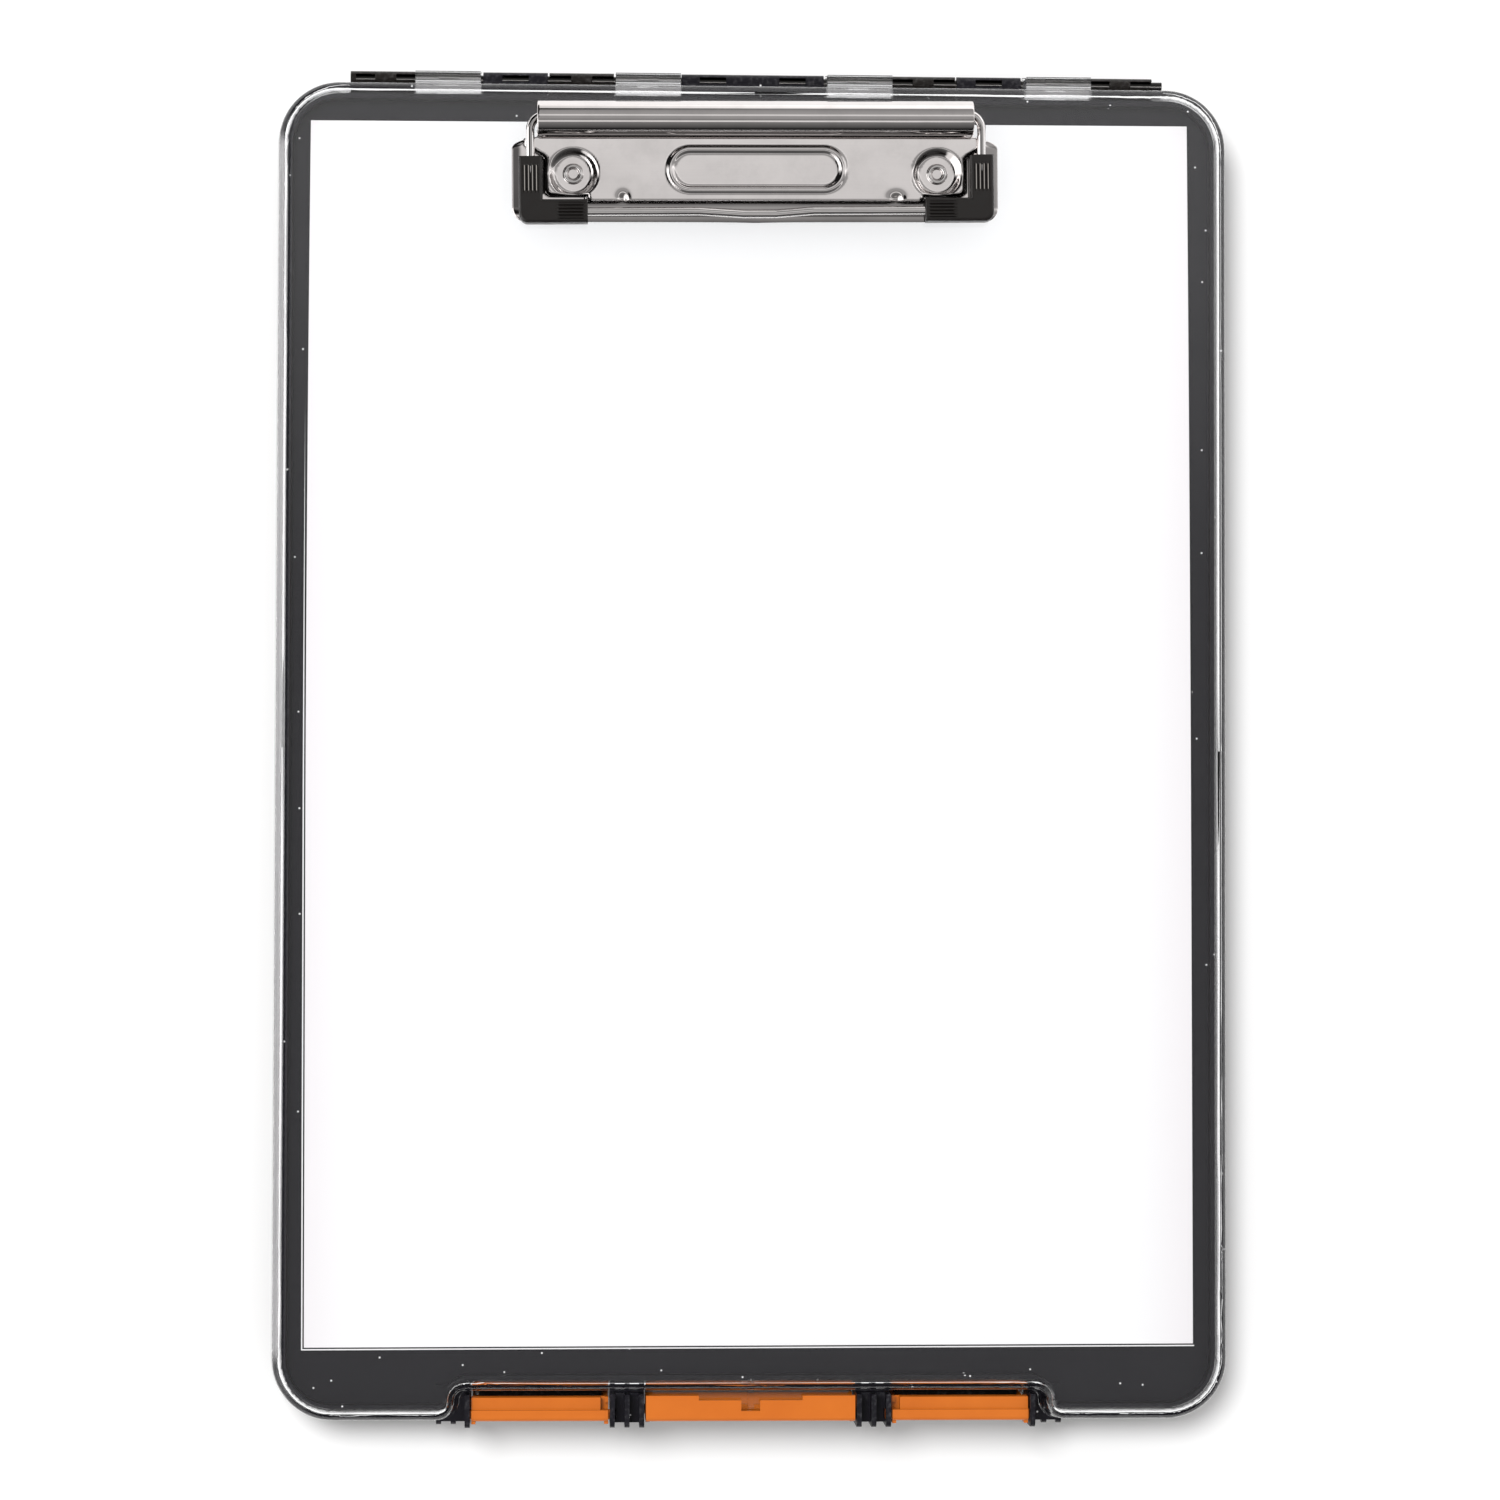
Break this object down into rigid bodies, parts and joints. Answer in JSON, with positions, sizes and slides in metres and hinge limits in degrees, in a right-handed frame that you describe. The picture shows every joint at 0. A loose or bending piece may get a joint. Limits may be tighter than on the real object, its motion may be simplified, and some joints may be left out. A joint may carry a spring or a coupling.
{
  "type": "storage clipboard",
  "caption": "Flat storage clipboard with a clear front lid, a divider tray, a back lid, snap latches and a low-profile wire clip.",
  "frame": {"origin": "under the middle of the closed clipboard's box, on the back face", "axes": "+X to the right and +Y towards the hinge and clip, seen from the front; +Z out of the front face"},
  "size_m": [0.235, 0.3342, 0.0356],
  "materials": {
    "clear_plastic": "clear moulded polystyrene, polished, with fine scratches",
    "tray_plastic": "charcoal moulded polypropylene, fine grain",
    "lid_plastic": "black moulded polypropylene, satin",
    "pin_steel": "drawn steel wire",
    "orange_plastic": "orange moulded plastic, semi-gloss",
    "nickel_plate": "pressed sheet steel, bright nickel plated",
    "nickel_wire": "spring wire, bright nickel plated",
    "washer_steel": "zinc plated steel",
    "grip_rubber": "soft black vinyl, grooved",
    "card": "smooth white card",
    "paper": "white writing paper"
  },
  "bodies": {
    "middle_tray": {"middle_tray": "tray_plastic", "hinge_pin": "pin_steel", "backing_card": "card", "paper_sheet": "paper"},
    "front_lid": {"front_lid": "clear_plastic", "clip_base": "nickel_plate", "clip_rivet_left": "nickel_plate", "clip_rivet_right": "nickel_plate", "rivet_washer_left": "washer_steel", "rivet_washer_right": "washer_steel"},
    "wire_bail": {"wire_bail": "nickel_wire", "corner_grip_left": "grip_rubber", "corner_grip_right": "grip_rubber"},
    "back_lid": {"back_lid": "lid_plastic"},
    "front_latch": {"front_latch": "orange_plastic"},
    "back_latch_left": {"back_latch_left": "orange_plastic"},
    "back_latch_right": {"back_latch_right": "orange_plastic"}
  },
  "joints": [
    {"name": "front_lid_hinge", "type": "hinge", "parent": "middle_tray", "child": "front_lid", "pos_m": [0, 0.1653, 0.014], "axis": [-1, 0, 0], "range_deg": [0, 180]},
    {"name": "back_lid_hinge", "type": "hinge", "parent": "middle_tray", "child": "back_lid", "pos_m": [0, 0.1653, 0.014], "axis": [1, 0, 0], "range_deg": [0, 180]},
    {"name": "bail_lift", "type": "hinge", "parent": "front_lid", "child": "wire_bail", "pos_m": [0.0002, 0.154, 0.0316], "axis": [-1, 0, 0], "range_deg": [0, 95], "stiffness_Nm_per_rad": 0.2, "springref_deg": -17.19},
    {"name": "front_latch_pivot", "type": "hinge", "parent": "middle_tray", "child": "front_latch", "pos_m": [0, -0.1642, 0.0086], "axis": [1, 0, 0], "range_deg": [0, 90]},
    {"name": "back_latch_left_pivot", "type": "hinge", "parent": "middle_tray", "child": "back_latch_left", "pos_m": [-0.0515, -0.1642, 0.0194], "axis": [-1, 0, 0], "range_deg": [0, 90]},
    {"name": "back_latch_right_pivot", "type": "hinge", "parent": "middle_tray", "child": "back_latch_right", "pos_m": [0.0515, -0.1642, 0.0194], "axis": [-1, 0, 0], "range_deg": [0, 90]}
  ]
}
